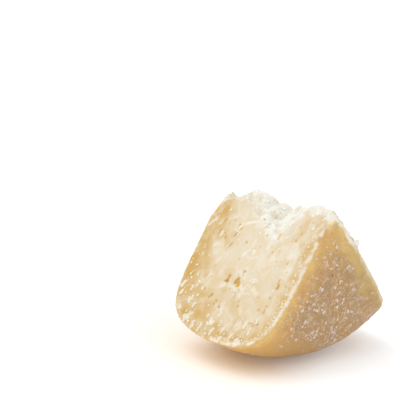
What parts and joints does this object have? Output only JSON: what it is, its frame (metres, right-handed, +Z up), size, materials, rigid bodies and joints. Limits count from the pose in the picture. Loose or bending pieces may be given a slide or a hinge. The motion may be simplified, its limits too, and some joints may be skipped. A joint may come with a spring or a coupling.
{
  "type": "buffalo milk cheese chunk",
  "caption": "Broken-off chunk of a small aged buffalo milk cheese wheel, standing on its rind with the crumbled centre on top.",
  "frame": {"origin": "middle of the base, where the rim rests on the table", "axes": "+X along the wheel's axis, towards the flat rind face that shows in the picture; +Y across the sector, away from the knife face that shows; +Z up, through the crumbled crest"},
  "size_m": [0.0922, 0.1124, 0.098],
  "materials": {
    "cheese": "cream paste with a tan, matt rind"
  },
  "bodies": {
    "root": {"cheese_chunk": "cheese"}
  },
  "joints": []
}
